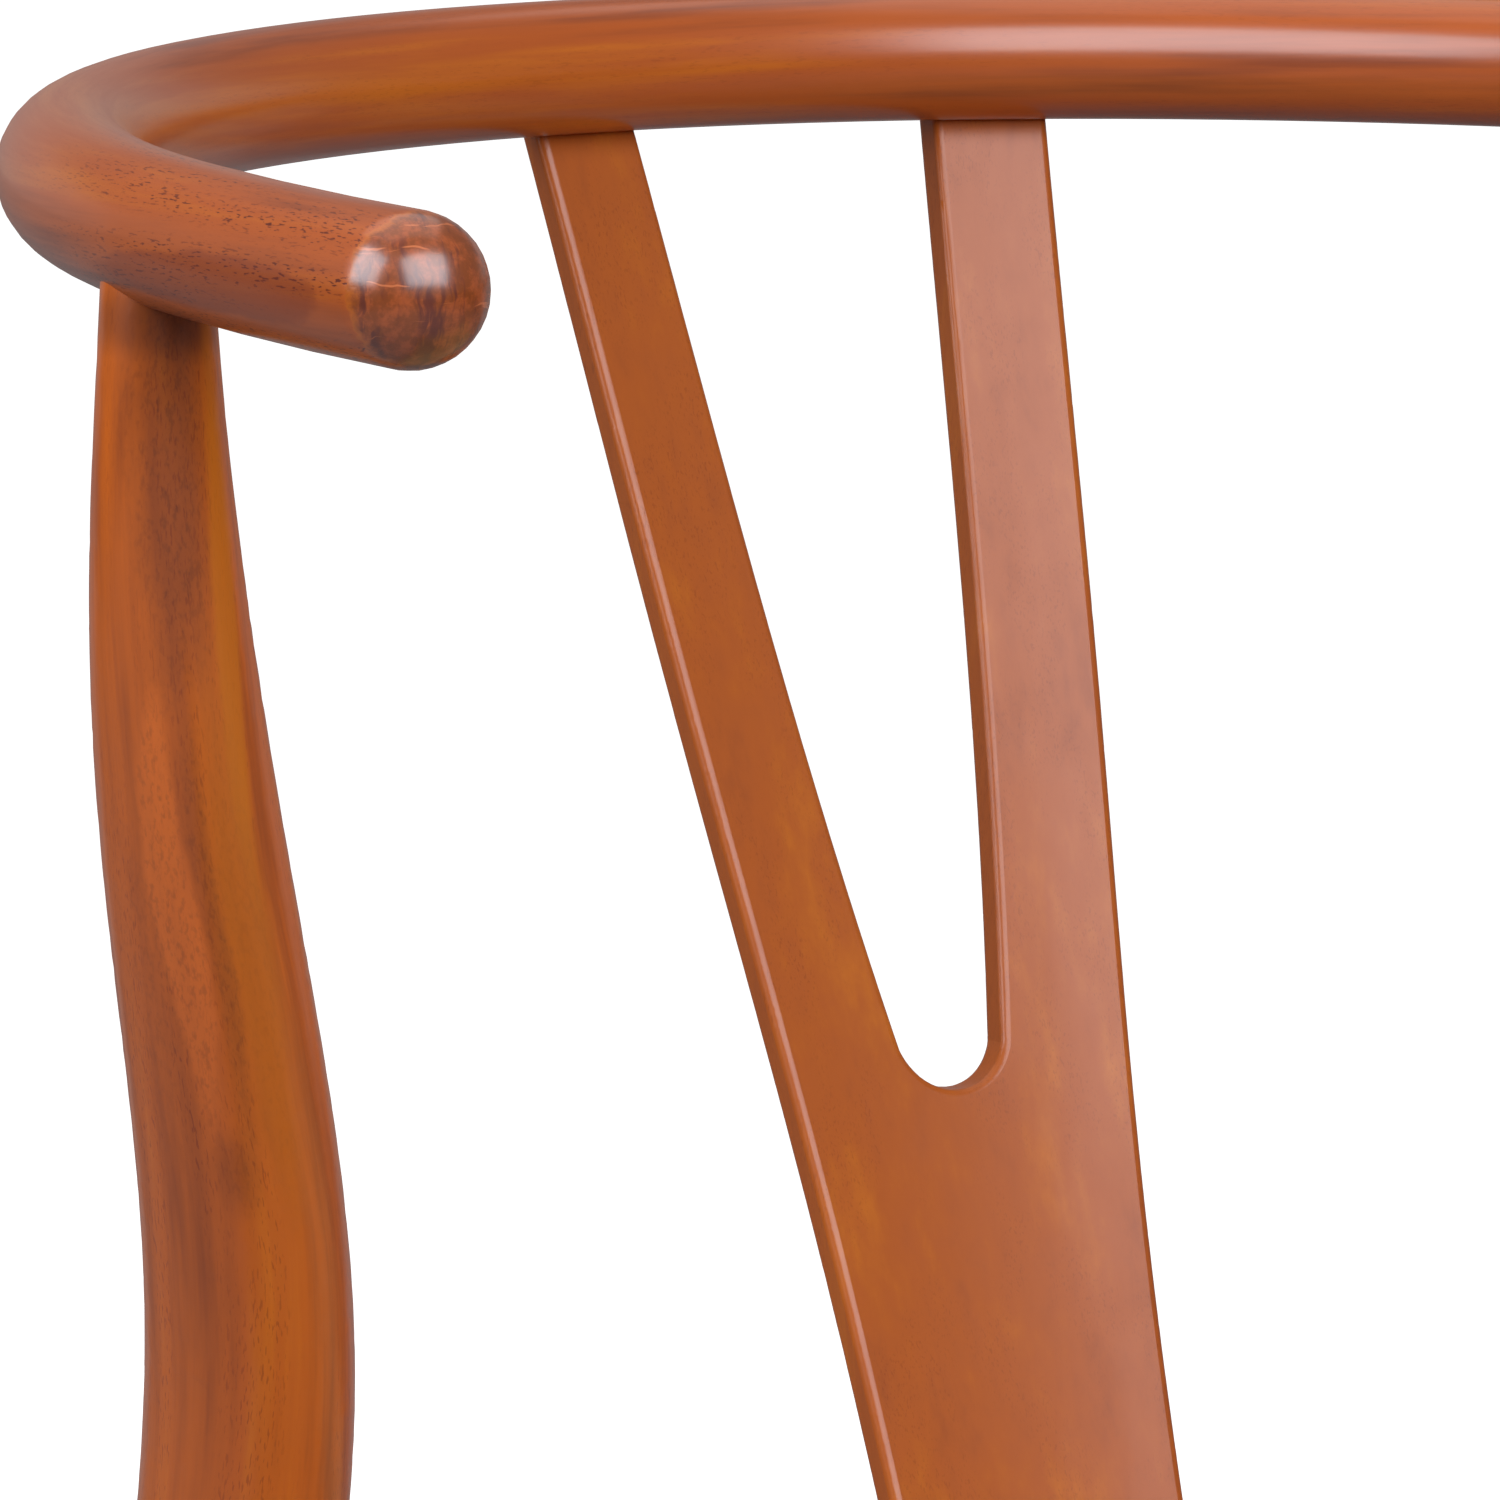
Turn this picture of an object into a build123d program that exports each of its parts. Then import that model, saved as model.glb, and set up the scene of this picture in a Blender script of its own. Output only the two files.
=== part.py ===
from build123d import *
import os
from math import acos, cos, degrees, pi, radians, sin, tan

# A dining armchair with a bent one-piece top rail, a forked back splat and a
# woven paper cord seat. Millimetres. The origin is on the floor under the
# middle of the chair, the sitter faces -Y, +Z is up, and the two sides of the
# chair are mirror images in X = 0. Left is the -X side.

# top rail: a round bar bent to an arc, with a nearly straight arm at each end
rail_bend = 261.2
rail_radius = 13.9
rail_centre_y = -20.0
rail_back_z = 746.0
rail_tilt = 3.1
rail_turn = 88.5
arm_bend = 1725.0
arm_length = 84.3
arm_lift = 39.0

# back splat: a thin board, hollowed towards the sitter and leaning back
splat_lean = 21.3
splat_thickness = 8.5
splat_front_offset = 0.5
splat_edge = 1.8
splat_outer_side = [
    (33.3, 440.0),
    (34.2, 460.0),
    (38.2, 516.0),
    (49.3, 615.0),
    (61.2, 732.0),
    (62.9, 748.0),
]
splat_fork_side = [(12.1, 545.5), (22.9, 615.0), (36.0, 732.0), (37.8, 748.0)]
fork_bottom_z = 537.0
branch_tenon_x = 48.5
branch_tenon_width = 17.0
branch_tenon_near = 2.8
branch_tenon_far = 8.3
splat_tenon_half_width = 25.0
splat_tenon_face = 1.5
splat_tenon_length = 20.0

# rear legs: x, y, z and radius along the bent axis, from the rail to the floor
rear_leg_points = [
    (260.0, 5.0, 733.0, 10.0),
    (258.9, 7.0, 700.0, 11.8),
    (246.6, 25.0, 640.0, 15.9),
    (225.5, 52.0, 580.0, 18.3),
    (204.7, 82.5, 520.0, 19.9),
    (192.3, 123.5, 432.0, 19.8),
    (190.3, 149.5, 340.0, 18.6),
    (191.7, 168.5, 255.0, 17.0),
    (194.0, 184.0, 185.0, 15.5),
    (200.0, 224.0, 0.0, 12.5),
    (200.5, 227.0, -14.0, 12.5),
]
leg_tenon_radius = 7.0
leg_tenon_length = 16.0

# front legs: straight and turned, radius and distance along the axis
front_leg_foot_x = 252.0
front_leg_seat_x = 238.5
front_leg_seat_y = -234.75
front_leg_foot_y = -241.95
front_leg_profile = [
    (12.3, -8.0),
    (12.9, 40.0),
    (14.3, 110.0),
    (16.1, 190.0),
    (17.8, 280.0),
    (19.0, 380.0),
    (19.0, 428.0),
    (17.6, 450.0),
]
front_leg_crown = 8.0
front_leg_easing = 5.0

# seat frame
side_rail_z = 432.0
cross_rail_z = 420.0
rear_rail_y = 128.0
seat_rail_height = 30.0
seat_rail_width = 18.0
rear_rail_width = 22.0
rail_tenon_radius = 7.0
rail_tenon_inset = 5.0
splat_block_width = 74.0
splat_block_top = 446.0
splat_block_edge = 3.0

# stretchers: round ends and a deeper, flattened middle
side_stretcher_z = 185.0
cross_stretcher_z = 255.0
stretcher_end = 7.5
stretcher_half_height = 17.0
stretcher_half_width = 7.3
stretcher_inset = 7.0
stretcher_sections = 9

# woven seat: its cord lies cord_layer thick on the rails
cord_layer = 3.2
front_leg_radius = 19.0
rear_leg_radius = 19.8
weave_centre_top = 444.0
weave_centre_bottom = 406.0
insert_thickness = 3.0
insert_margin = 18.0
nail_gap = 4.5

# fastenings and feet
glide_height = 5.0
glide_radius = 10.5
glide_edge = 1.0
glide_nail_radius = 1.2
glide_nail_length = 18.0
glide_head_radius = 4.0
glide_head_z = 2.0
glide_head_thickness = 1.0
cord_nail_radius = 0.8
cord_nail_count = 11
cord_nail_pitch = 6.6
cord_nail_depth = 8.0
cord_nail_reach = 3.6
cord_nail_hook = 5.0
tack_places = [-150.0, 60.0]
tack_radius = 0.8
tack_depth = 6.0
tack_head_radius = 2.4
tack_head_thickness = 0.8

# values that follow from the ones above
rail_back_y = rail_centre_y + rail_bend
lean_slope = tan(radians(splat_lean))
splat_top_z = rail_back_z - rail_radius
splat_top_y = rail_back_y + splat_front_offset
front_splay = (front_leg_seat_x - front_leg_foot_x) / side_rail_z
front_rake = (front_leg_seat_y - front_leg_foot_y) / side_rail_z
rail_plane = Plane(
    origin=(0, rail_back_y, rail_back_z),
    x_dir=(1, 0, 0),
    z_dir=(0, -sin(radians(rail_tilt)), cos(radians(rail_tilt))),
)

os.makedirs("parts", exist_ok=True)


def front_axis(z):
    """The front left leg's axis at height z."""
    return Vector(-(front_leg_foot_x + front_splay * z), front_leg_foot_y + front_rake * z, z)


def rear_axis(z):
    """The rear left leg's axis at one of the heights in rear_leg_points."""
    x, y = next(point[:2] for point in rear_leg_points if point[2] == z)
    return Vector(-x, y, z)


def mirrored(point):
    return Vector(-point.X, point.Y, point.Z)


def bar_plane(origin, direction):
    """A plane square to a bar, with its x direction upright."""
    return Plane(origin=origin, x_dir=(0, 0, 1), z_dir=direction)


def save(piece, label):
    piece.part.label = label
    export_step(piece.part, f"parts/{label}.step")


def save_pair(piece, label):
    """Writes a piece of the left side, and its mirror image for the right side."""
    save(piece, f"{label}_left")
    with BuildPart() as other:
        add(mirror(piece.part, about=Plane.YZ))
    save(other, f"{label}_right")


# ---- top rail before its mortises are cut ----


def arm_line(start, along, inward):
    """An arm's axis: it goes on from the rail's arc, and turns gently inward and up."""
    lift = radians(arm_lift)
    towards = inward * cos(lift) + rail_plane.z_dir * sin(lift)
    with BuildLine(Plane(origin=start, x_dir=along, z_dir=along.cross(towards))) as line:
        JernArc((0, 0), (1, 0), arm_bend, degrees(arm_length / arm_bend))
    return line.line


with BuildPart() as rail_blank:
    with BuildLine(rail_plane):
        arc = CenterArc((0, -rail_bend), rail_bend, 90 - rail_turn, 2 * rail_turn)
    left_arm = arm_line(arc @ 1, arc % 1, Vector(1, 0, 0))
    right_arm = arm_line(arc @ 0, (arc % 0) * -1, Vector(-1, 0, 0))
    for run in (arc, left_arm, right_arm):
        with BuildSketch(Plane(origin=run @ 0, z_dir=run % 0)):
            Circle(rail_radius)
        sweep(path=run)
    for arm in (left_arm, right_arm):
        with BuildSketch(Plane(origin=arm @ 1, x_dir=arm % 1, z_dir=(arm % 1).cross(Vector(1, 0, 0)))):
            Circle(rail_radius)
            Rectangle(rail_radius, rail_radius, align=(Align.MIN, Align.MIN), mode=Mode.INTERSECT)
        revolve(axis=Axis(arm @ 1, arm % 1))

# ---- leg blanks, before mortises and tenons are made ----

with BuildPart() as rear_leg_blank:
    with BuildLine():
        rear_curve = Spline(*[(-x, y, z) for x, y, z, radius in rear_leg_points])
    for x, y, z, radius in rear_leg_points:
        along = rear_curve % rear_curve.param_at_point((-x, y, z))
        with BuildSketch(Plane(origin=(-x, y, z), x_dir=(1, 0, 0), z_dir=along)):
            Circle(radius)
    loft()
    split(bisect_by=Plane.XY.offset(glide_height), keep=Keep.TOP)

front_leg_plane = Plane(
    origin=front_axis(0), x_dir=(1, 0, 0), z_dir=front_axis(side_rail_z) - front_axis(0)
)

with BuildPart() as front_leg_blank:
    with BuildSketch(
        Plane(front_leg_plane.origin, front_leg_plane.x_dir, front_leg_plane.y_dir * -1)
    ) as leg_profile:
        with BuildLine():
            top_radius, top_z = front_leg_profile[-1]
            crown_radius = (top_radius**2 + front_leg_crown**2) / (2 * front_leg_crown)
            crown_angle = degrees(acos(top_radius / crown_radius))
            crown_centre = (0, top_z + front_leg_crown - crown_radius)
            Spline(*front_leg_profile)
            CenterArc(crown_centre, crown_radius, crown_angle, 90 - crown_angle)
            Polyline((0, top_z + front_leg_crown), (0, front_leg_profile[0][1]), front_leg_profile[0])
        make_face()
        shoulder = leg_profile.vertices().sort_by_distance(front_leg_plane.origin)[-2]
        fillet(shoulder, front_leg_easing)
    revolve(axis=Axis(front_leg_plane.origin, front_leg_plane.z_dir))
    split(bisect_by=Plane.XY.offset(glide_height), keep=Keep.TOP)

# ---- seat rails and stretchers ----


def seat_rail(start, end, width, legs):
    """A rounded rail coped to two leg blanks, with a round tenon at each end."""
    along = (end - start).normalized()
    length = (end - start).length
    with BuildPart() as rail:
        with BuildSketch(bar_plane(start, along)):
            SlotOverall(seat_rail_height, width)
        extrude(amount=length)
        for leg in legs:
            add(leg, mode=Mode.SUBTRACT)
        with BuildSketch(bar_plane(start + along * rail_tenon_inset, along)):
            Circle(rail_tenon_radius)
        extrude(amount=length - 2 * rail_tenon_inset)
    return rail


def stretcher(start, end):
    """A bar whose round ends go into the legs, deeper and flatter at its middle."""
    along = (end - start).normalized()
    length = (end - start).length - 2 * stretcher_inset
    with BuildPart() as bar:
        for step in range(stretcher_sections):
            place = step / (stretcher_sections - 1)
            swell = sin(pi * place) ** 0.8
            half_height = stretcher_end + (stretcher_half_height - stretcher_end) * swell
            half_width = stretcher_end + (stretcher_half_width - stretcher_end) * swell
            origin = start + along * (stretcher_inset + length * place)
            with BuildSketch(bar_plane(origin, along)):
                Ellipse(half_height + 0.01, half_width)
        loft()
    return bar


front_left = front_leg_blank.part
rear_left = rear_leg_blank.part
front_right = mirror(front_left, about=Plane.YZ)
rear_right = mirror(rear_left, about=Plane.YZ)

side_rail = seat_rail(
    front_axis(side_rail_z), rear_axis(side_rail_z), seat_rail_width, (front_left, rear_left)
)
front_corner = front_axis(cross_rail_z)
rear_seat = rear_axis(side_rail_z)
rear_corner = Vector(rear_seat.X, rear_rail_y, cross_rail_z)
front_rail = seat_rail(
    front_corner, mirrored(front_corner), seat_rail_width, (front_left, front_right)
)
rear_rail_bar = seat_rail(
    rear_corner, mirrored(rear_corner), rear_rail_width, (rear_left, rear_right)
)

side_stretcher = stretcher(front_axis(side_stretcher_z), rear_axis(side_stretcher_z))
front_stretcher = stretcher(front_axis(cross_stretcher_z), mirrored(front_axis(cross_stretcher_z)))
rear_stretcher = stretcher(rear_axis(cross_stretcher_z), mirrored(rear_axis(cross_stretcher_z)))

# ---- back splat ----


def leaning_board(near, far, low, high, half_width):
    """A hollowed board between two depths behind the splat's front face."""
    middle_y = splat_top_y - lean_slope * (splat_top_z - low) - rail_bend
    with BuildPart() as board:
        with BuildSketch(Plane.XY.offset(low)):
            with Locations((0, middle_y)):
                Circle(rail_bend + far)
                Circle(rail_bend + near, mode=Mode.SUBTRACT)
                Rectangle(
                    2 * half_width, 2 * rail_bend, align=(Align.CENTER, Align.MIN), mode=Mode.INTERSECT
                )
        extrude(amount=(high - low) / cos(radians(splat_lean)), dir=(0, lean_slope, 1))
    return board


with BuildPart() as splat_outline:
    with BuildSketch(Plane.XZ):
        with BuildLine():
            outer = Spline(*splat_outer_side)
            fork = Spline(*splat_fork_side)
            fork_foot = splat_fork_side[0]
            ThreePointArc((-fork_foot[0], fork_foot[1]), (0, fork_bottom_z), fork_foot)
            branch_top = Line(splat_outer_side[-1], splat_fork_side[-1])
            Line((-splat_outer_side[0][0], splat_outer_side[0][1]), splat_outer_side[0])
            mirror([outer, fork, branch_top], about=Plane.YZ)
        make_face()
    extrude(amount=2 * rail_bend, both=True)

with BuildPart() as back_splat:
    board_top = rail_back_z - splat_thickness / 2
    add(leaning_board(0, splat_thickness, splat_block_top, board_top, splat_block_width))
    add(splat_outline.part, mode=Mode.INTERSECT)
    broad_faces = back_splat.faces().sort_by(SortBy.AREA)[-2:]
    side_edges = [edge for face in broad_faces for edge in face.edges() if edge.bounding_box().size.Z > 4]
    fillet(side_edges, splat_edge)
    add(rail_blank.part, mode=Mode.SUBTRACT)
    add(
        leaning_board(
            splat_tenon_face,
            splat_thickness - splat_tenon_face,
            splat_block_top - splat_tenon_length,
            splat_block_top + splat_tenon_face,
            splat_tenon_half_width,
        )
    )
    for side in (-1, 1):
        with BuildSketch(Plane.XY.offset(splat_top_z - splat_thickness)):
            with Locations((0, rail_centre_y)):
                Circle(rail_bend + branch_tenon_far)
                Circle(rail_bend + branch_tenon_near, mode=Mode.SUBTRACT)
            with Locations((side * branch_tenon_x, rail_back_y)):
                Rectangle(branch_tenon_width, rail_bend / 2, mode=Mode.INTERSECT)
        extrude(amount=rail_radius + splat_thickness)

# ---- rear seat rail: a raised block takes the splat's tenon ----

with BuildPart() as rear_rail:
    add(rear_rail_bar)
    with BuildSketch(Plane.XY.offset(cross_rail_z)):
        with Locations((0, rear_rail_y)):
            Rectangle(splat_block_width, rear_rail_width)
    extrude(amount=splat_block_top - cross_rail_z)
    fillet(rear_rail.faces().sort_by(Axis.Z)[-1].edges(), splat_block_edge)
    add(back_splat.part, mode=Mode.SUBTRACT)

# ---- nails and foot glides ----


def foot_places():
    left = [front_axis(glide_height), rear_axis(0)]
    return left + [mirrored(place) for place in left]


with BuildPart() as glide_nails:
    with BuildSketch(Plane.XY.offset(glide_head_z)):
        with Locations(*[(place.X, place.Y) for place in foot_places()]):
            Circle(glide_head_radius)
    extrude(amount=glide_head_thickness)
    with BuildSketch(Plane.XY.offset(glide_head_z)):
        with Locations(*[(place.X, place.Y) for place in foot_places()]):
            Circle(glide_nail_radius)
    extrude(amount=glide_nail_length)


def foot_glide(place):
    with BuildPart() as glide:
        with BuildSketch():
            with Locations((place.X, place.Y)):
                Circle(glide_radius)
        extrude(amount=glide_height)
        chamfer(glide.edges().group_by(Axis.Z)[0], glide_edge)
        add(glide_nails.part, mode=Mode.SUBTRACT)
    return glide


rail_face_y = rear_rail_y - rear_rail_width / 2

with BuildPart() as cord_nails:
    for number in range(cord_nail_count):
        x = (number - (cord_nail_count - 1) / 2) * cord_nail_pitch
        with BuildLine() as bent:
            FilletPolyline(
                (x, rail_face_y + cord_nail_depth, cross_rail_z),
                (x, rail_face_y - cord_nail_reach + cord_nail_radius, cross_rail_z),
                (x, rail_face_y - cord_nail_reach + cord_nail_radius, cross_rail_z + cord_nail_hook),
                radius=2 * cord_nail_radius,
            )
        with BuildSketch(Plane(origin=bent.line @ 0, z_dir=bent.line % 0)):
            Circle(cord_nail_radius)
        sweep(path=bent.line)

with BuildPart() as cord_tacks:
    rail_run = rear_seat - front_axis(side_rail_z)
    inward = rail_run.cross(Vector(0, 0, 1)).normalized()
    for place_y in tack_places:
        part_way = (place_y - front_leg_seat_y) / rail_run.Y
        face = front_axis(side_rail_z) + rail_run * part_way + inward * (seat_rail_width / 2)
        with BuildSketch(Plane(origin=face + inward * tack_head_thickness, z_dir=inward * -1)):
            Circle(tack_head_radius)
        extrude(amount=tack_head_thickness)
        with BuildSketch(Plane(origin=face, z_dir=inward * -1)):
            Circle(tack_radius)
        extrude(amount=tack_depth)

# ---- woven seat ----
# Each rail carries strands that run square to it, in one field on each side of
# the seat. The fields meet on four 45 degree lines that start at the legs, and
# the front and rear fields also meet on a short line across the middle.

front_half = front_leg_seat_x - front_leg_radius
rear_half = -rear_seat.X - rear_leg_radius
gusset = front_half - rear_half
front_start = front_leg_seat_y + front_leg_radius
rear_start = rear_seat.Y - rear_leg_radius
full_rings = (rear_start - front_start - gusset) / 2
centre_y = rear_start - full_rings
centre_half = rear_half - full_rings

side_front = (-front_leg_seat_x, front_leg_seat_y)
side_rear = (rear_seat.X, rear_seat.Y)
cross_rear = (rear_seat.X, rear_rail_y)
centre_end = (-centre_half, centre_y)
half_layer = seat_rail_height / 2 + cord_layer


def other_side(corner):
    return (-corner[0], corner[1])


left_field = [(side_front, side_rail_z), (side_rear, side_rail_z), (centre_end, None)]
front_field = [
    (side_front, cross_rail_z),
    (other_side(side_front), cross_rail_z),
    (other_side(centre_end), None),
    (centre_end, None),
]
rear_field = [
    (side_rear, cross_rail_z),
    (cross_rear, cross_rail_z),
    (other_side(cross_rear), cross_rail_z),
    (other_side(side_rear), cross_rail_z),
    (other_side(centre_end), None),
    (centre_end, None),
]
right_field = [(other_side(corner), z) for corner, z in left_field]


def field_corners(field):
    """A field's top and bottom corners: its rail's height, or the seat's middle."""
    corners = []
    for (x, y), z in field:
        top = weave_centre_top if z is None else z + half_layer
        bottom = weave_centre_bottom if z is None else z - half_layer
        corners += [(x, y, top), (x, y, bottom)]
    return corners


def insert(field, z):
    """A card that stiffens one field, between its upper and lower strands."""
    with BuildPart() as card:
        with BuildSketch(Plane.XY.offset(z)):
            Polygon(*[corner for corner, height in field], align=None)
            offset(amount=-insert_margin, kind=Kind.INTERSECTION)
        extrude(amount=insert_thickness)
    return card


side_card_z = side_rail_z - 3 * insert_thickness
insert_side = insert(left_field, side_card_z)
insert_front = insert(front_field, cross_rail_z)
insert_rear = insert(rear_field, cross_rail_z)
side_card_right = mirror(insert_side.part, about=Plane.YZ)
side_rail_right = mirror(side_rail.part, about=Plane.YZ)


def wrap(start, end, width):
    """The strands' hollow sleeve round one rail, still solid inside."""
    with BuildPart() as sleeve:
        with BuildSketch(bar_plane(start, end - start)):
            SlotOverall(seat_rail_height + 2 * cord_layer, width + 2 * cord_layer)
        extrude(amount=(end - start).length)
    return sleeve


with BuildPart() as seat_weave:
    for field in (left_field, front_field, rear_field, right_field):
        ConvexPolyhedron(field_corners(field))
    side_sleeve = wrap(front_axis(side_rail_z), rear_axis(side_rail_z), seat_rail_width)
    add(side_sleeve)
    add(mirror(side_sleeve.part, about=Plane.YZ))
    add(wrap(front_corner, mirrored(front_corner), seat_rail_width))
    add(wrap(rear_corner, mirrored(rear_corner), rear_rail_width))
    with BuildSketch(Plane.XY.offset(cross_rail_z - 2 * seat_rail_height)):
        with Locations((0, rail_face_y - nail_gap)):
            Rectangle(splat_block_width, rear_rail_width * 3, align=(Align.CENTER, Align.MIN))
    extrude(amount=4 * seat_rail_height, mode=Mode.SUBTRACT)
    for solid in (front_left, front_right, rear_left, rear_right, side_rail_right, side_card_right):
        add(solid, mode=Mode.SUBTRACT)
    for piece in (side_rail, front_rail, rear_rail, insert_side, insert_front, insert_rear, cord_tacks):
        add(piece.part, mode=Mode.SUBTRACT)

# ---- legs and top rail with their joints cut ----

with BuildPart() as rear_leg:
    add(rear_leg_blank.part)
    add(rail_blank.part, mode=Mode.SUBTRACT)
    top_x, top_y, top_z, top_radius = rear_leg_points[0]
    with BuildSketch(Plane.XY.offset(top_z - rail_radius - leg_tenon_length)):
        with Locations((-top_x, top_y)):
            Circle(leg_tenon_radius)
    extrude(amount=2 * leg_tenon_length)
    for piece in (side_rail, rear_rail, side_stretcher, rear_stretcher, glide_nails):
        add(piece.part, mode=Mode.SUBTRACT)

with BuildPart() as front_leg:
    add(front_leg_blank.part)
    for piece in (side_rail, front_rail, side_stretcher, front_stretcher, glide_nails):
        add(piece.part, mode=Mode.SUBTRACT)

with BuildPart() as top_rail:
    add(rail_blank.part)
    add(back_splat.part, mode=Mode.SUBTRACT)
    add(rear_leg.part, mode=Mode.SUBTRACT)
    add(mirror(rear_leg.part, about=Plane.YZ), mode=Mode.SUBTRACT)

with BuildPart() as seat_rail_left:
    add(side_rail.part)
    add(cord_tacks.part, mode=Mode.SUBTRACT)

with BuildPart() as seat_rail_right:
    add(side_rail_right)

with BuildPart() as seat_rail_rear:
    add(rear_rail.part)
    add(cord_nails.part, mode=Mode.SUBTRACT)

# ---- one file for each piece ----

save(top_rail, "top_rail")
save(back_splat, "back_splat")
save_pair(rear_leg, "rear_leg")
save_pair(front_leg, "front_leg")
save(front_rail, "seat_rail_front")
save(seat_rail_rear, "seat_rail_rear")
save(seat_rail_left, "seat_rail_left")
save(seat_rail_right, "seat_rail_right")
save(front_stretcher, "stretcher_front")
save(rear_stretcher, "stretcher_rear")
save_pair(side_stretcher, "stretcher")
save(seat_weave, "seat_weave")
save(insert_front, "seat_insert_front")
save(insert_rear, "seat_insert_rear")
save_pair(insert_side, "seat_insert")
save(glide_nails, "glide_nails")
save(cord_nails, "cord_nails")
save(cord_tacks, "cord_tacks")
for label, place in zip(("front_left", "rear_left", "front_right", "rear_right"), foot_places()):
    save(foot_glide(place), f"foot_glide_{label}")
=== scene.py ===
import math

import bmesh
import bpy
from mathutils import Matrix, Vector


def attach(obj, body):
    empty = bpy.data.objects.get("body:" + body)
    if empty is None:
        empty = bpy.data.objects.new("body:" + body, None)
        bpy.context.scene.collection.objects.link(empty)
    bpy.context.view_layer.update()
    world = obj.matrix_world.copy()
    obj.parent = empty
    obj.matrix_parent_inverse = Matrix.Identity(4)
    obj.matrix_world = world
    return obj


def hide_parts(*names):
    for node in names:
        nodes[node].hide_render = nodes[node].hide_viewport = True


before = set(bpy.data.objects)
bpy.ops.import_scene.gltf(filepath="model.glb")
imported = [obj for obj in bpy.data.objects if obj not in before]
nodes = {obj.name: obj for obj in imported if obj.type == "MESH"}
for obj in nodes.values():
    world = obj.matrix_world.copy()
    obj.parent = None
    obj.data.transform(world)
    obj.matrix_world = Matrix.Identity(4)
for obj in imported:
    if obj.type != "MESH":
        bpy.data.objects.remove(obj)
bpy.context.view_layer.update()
scene = bpy.context.scene
print("frame loaded:", len(nodes), "nodes")

# camera, in metres: low in front of the left arm, looking at the back

cameraSet = {
    "place": (-1.0944, -1.7184, 0.8661),
    "target": (-0.1526, -0.0200, 0.6356),
    "lens": 256.6,
    "sensor": 36.0,
    "clip": (0.05, 100.0),
}


def aim(thing, target):
    away = Vector(target) - thing.location
    thing.rotation_mode = "QUATERNION"
    thing.rotation_quaternion = away.to_track_quat("-Z", "Y")


def makeCamera(spec):
    data = bpy.data.cameras.new("camera")
    data.lens = spec["lens"]
    data.sensor_width = spec["sensor"]
    data.clip_start, data.clip_end = spec["clip"]
    camera = bpy.data.objects.new("camera", data)
    scene.collection.objects.link(camera)
    camera.location = spec["place"]
    aim(camera, spec["target"])
    scene.camera = camera


makeCamera(cameraSet)
print("camera in place")

# soft studio light: two large boxes in front, weak ones overhead and behind

lightSet = {
    "distance": 1.9,
    "softboxes": [  # right, up and towards the camera; width and height; watts
        {
            "name": "boxLeft", "way": (-0.82, 0.46, 0.35), "size": (1.6, 1.3),
            "watts": 32, "colour": (0.90, 0.93, 1.0),
        },
        {
            "name": "boxFront", "way": (0.36, 0.46, 0.81), "size": (2.1, 1.5),
            "watts": 48, "colour": (0.90, 0.93, 1.0),
        },
        {
            "name": "boxTop", "way": (-0.10, 0.97, -0.22), "size": (2.0, 2.0),
            "watts": 9, "colour": (1.0, 0.96, 0.94),
        },
        {
            "name": "backdrop", "way": (0.0, 0.05, -1.0), "size": (5.0, 1.8),
            "watts": 5, "colour": (1.0, 0.96, 0.98),
        },
    ],
    "world": (1.0, 0.98, 0.98),
    "worldStrength": 0.12,
}


def makeLights(spec, view):
    centre = Vector(view["target"])
    toCamera = (Vector(view["place"]) - centre).normalized()
    toRight = Vector((0, 0, 1)).cross(toCamera).normalized()
    toTop = toCamera.cross(toRight)
    for box in spec["softboxes"]:
        data = bpy.data.lights.new(box["name"], "AREA")
        data.shape = "RECTANGLE"
        data.size, data.size_y = box["size"]
        data.energy = box["watts"]
        data.color = box["colour"]
        lamp = bpy.data.objects.new(box["name"], data)
        scene.collection.objects.link(lamp)
        right, up, near = box["way"]
        way = (toRight * right + toTop * up + toCamera * near).normalized()
        lamp.location = centre + way * spec["distance"]
        aim(lamp, centre)
        lamp.visible_camera = False
    world = bpy.data.worlds.new("studio")
    world.use_nodes = True
    sky = world.node_tree.nodes["Background"]
    sky.inputs["Color"].default_value = (*spec["world"], 1)
    sky.inputs["Strength"].default_value = spec["worldStrength"]
    scene.world = world
    scene.view_settings.view_transform = "Standard"
    scene.view_settings.look = "None"


makeLights(lightSet, cameraSet)
print("lights in place")

# short ways to build a node tree


def tint(red, green, blue):
    # a screen colour as Blender's linear one
    def line(level):
        level /= 255
        return level / 12.92 if level <= 0.04045 else ((level + 0.055) / 1.055) ** 2.4
    return (line(red), line(green), line(blue), 1.0)


def feed(tree, socket, value):
    if isinstance(value, bpy.types.NodeSocket):
        tree.links.new(value, socket)
    else:
        socket.default_value = value


def node(tree, kind, inputs=None, **settings):
    made = tree.nodes.new(kind)
    for key, value in settings.items():
        setattr(made, key, value)
    for key, value in (inputs or {}).items():
        feed(tree, made.inputs[key], value)
    return made


def maths(tree, operation, first, second=0.0, third=0.0):
    made = node(tree, "ShaderNodeMath", {0: first, 1: second, 2: third}, operation=operation)
    return made.outputs[0]


def times(tree, first, second):
    return maths(tree, "MULTIPLY", first, second)


def centred(tree, value):
    return maths(tree, "SUBTRACT", value, 0.5)


def vectors(tree, operation, first, second):
    made = node(tree, "ShaderNodeVectorMath", {0: first, 1: second}, operation=operation)
    return made.outputs[0]


def swung(tree, place, sway, reach):
    # a place pushed aside as far as a noise says
    push = node(tree, "ShaderNodeVectorMath", {0: reach, "Scale": sway}, operation="SCALE")
    return vectors(tree, "ADD", place, push.outputs[0])


def split(tree, vector):
    return node(tree, "ShaderNodeSeparateXYZ", {0: vector}).outputs


def joined(tree, first, second, third):
    return node(tree, "ShaderNodeCombineXYZ", {0: first, 1: second, 2: third}).outputs[0]


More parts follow.
